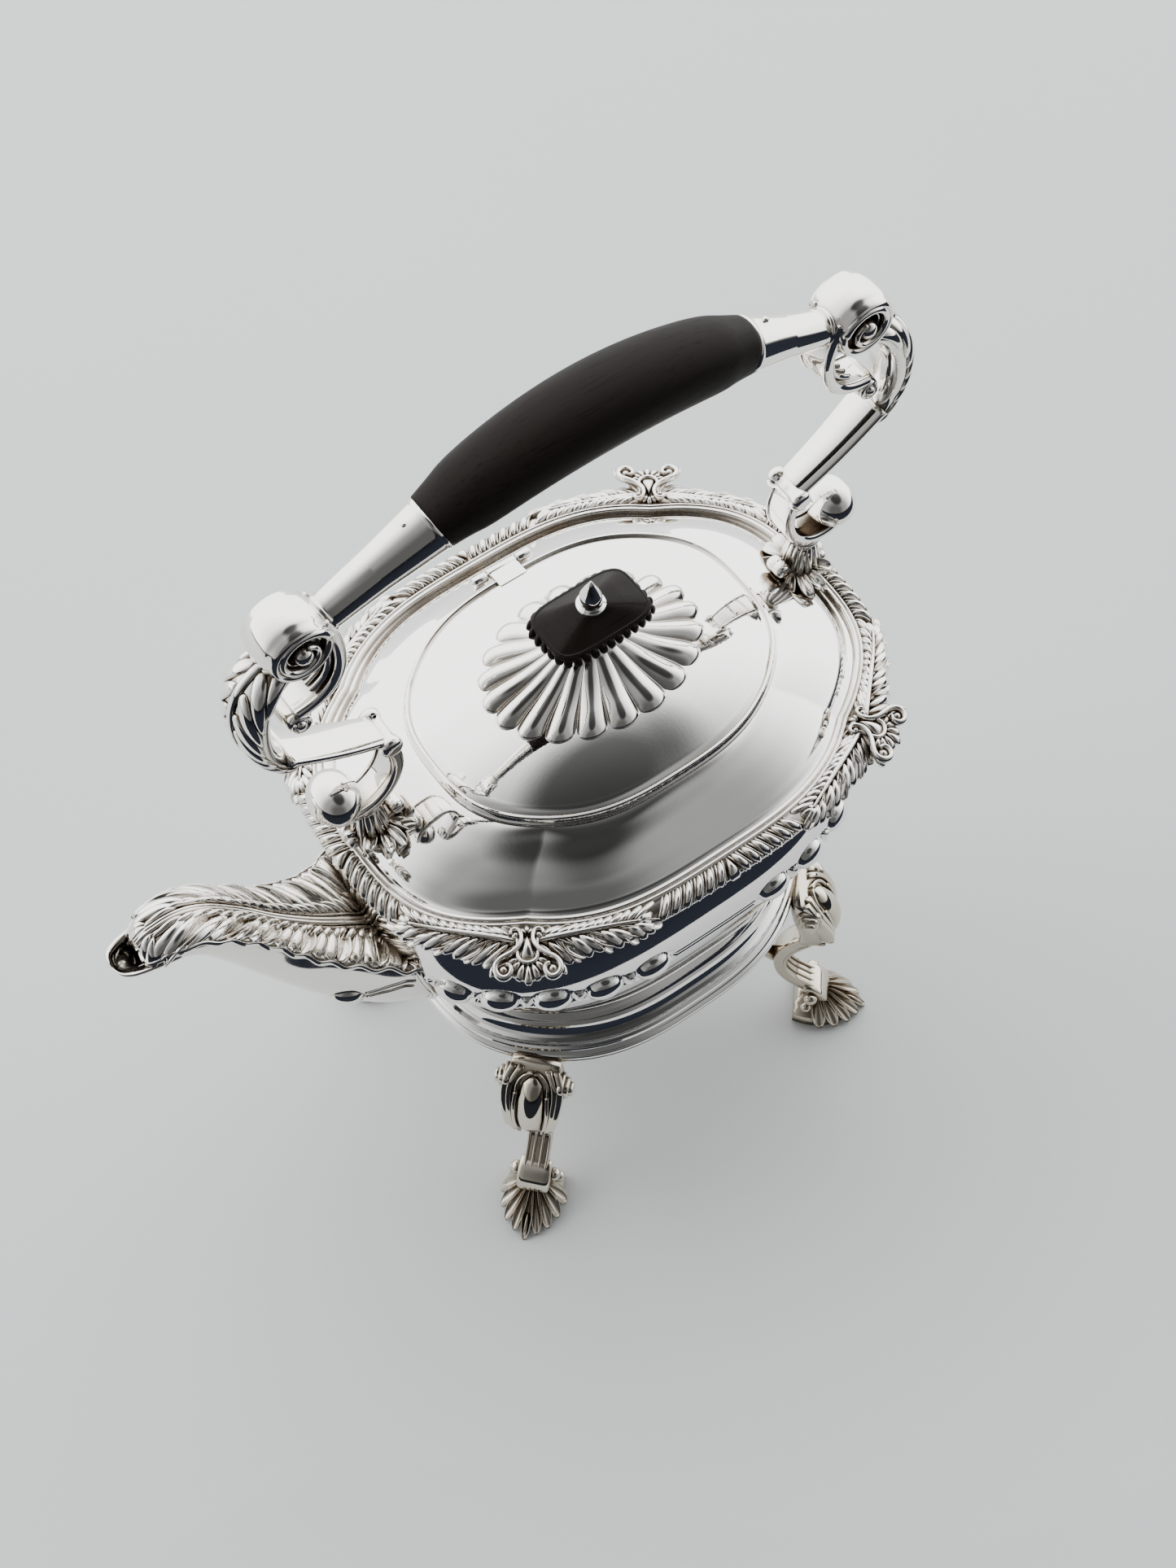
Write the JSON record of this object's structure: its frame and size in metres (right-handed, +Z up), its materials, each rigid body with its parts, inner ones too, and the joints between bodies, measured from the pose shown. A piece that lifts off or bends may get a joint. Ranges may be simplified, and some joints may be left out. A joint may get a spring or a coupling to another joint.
{
  "type": "silver teapot on stand",
  "caption": "Oval silver kettle-form teapot with hinged lid, ebony overhead grip and leaf spout, standing on a footed stand with a spirit burner.",
  "frame": {"origin": "on the table, under the middle of the overall box; the pot's own axis is 27.7 mm towards +X", "axes": "+Z up; -X towards the spout; +Y towards the lid hinge; the overhead handle lies in the XZ plane"},
  "size_m": [0.2898, 0.1534, 0.3685],
  "materials": {
    "silver": "polished silver, darkened in the chasing",
    "ebony": "satin polished ebony",
    "wick_cotton": "plaited cotton wick"
  },
  "bodies": {
    "stand": {"stand_ring": "silver", "leg_front_left": "silver", "leg_front_right": "silver", "leg_back_right": "silver", "leg_back_left": "silver", "stretcher_front_left": "silver", "stretcher_front_right": "silver", "stretcher_back_right": "silver", "stretcher_back_left": "silver", "burner_ring": "silver"},
    "burner": {"burner_bowl": "silver", "burner_cover": "silver", "wick": "wick_cotton"},
    "snuffer": {"snuffer_cap": "silver"},
    "pot": {"pot_foot_rim": "silver", "pot_body": "silver", "shoulder": "silver", "rim_border": "silver", "spout": "silver", "hinge_lugs": "silver", "hinge_pin": "silver", "handle_stem_left": "silver", "handle_stem_right": "silver", "handle_arm_left": "silver", "handle_arm_right": "silver", "handle_socket_left": "silver", "handle_socket_right": "silver", "grip": "ebony", "grip_pins": "silver"},
    "lid": {"lid_dome": "silver", "lid_bezel": "silver", "lid_hinge_flap": "silver", "finial_skirt": "silver", "finial_block": "ebony", "finial_nut": "silver", "finial_rod": "silver", "finial_clamp_nut": "silver"}
  },
  "joints": [
    {"name": "pot_lift", "type": "slide", "parent": "stand", "child": "pot", "axis": [0, 0, 1], "range_m": [0, 0.13]},
    {"name": "lid_hinge", "type": "hinge", "parent": "pot", "child": "lid", "pos_m": [0.0277, 0.0494, 0.2294], "axis": [-1, 0, 0], "range_deg": [0, 100]},
    {"name": "burner_lift", "type": "slide", "parent": "stand", "child": "burner", "axis": [0, 0, 1], "range_m": [0, 0.01]},
    {"name": "snuffer_lift", "type": "slide", "parent": "burner", "child": "snuffer", "axis": [0, 0, 1], "range_m": [0, 0.008]}
  ]
}
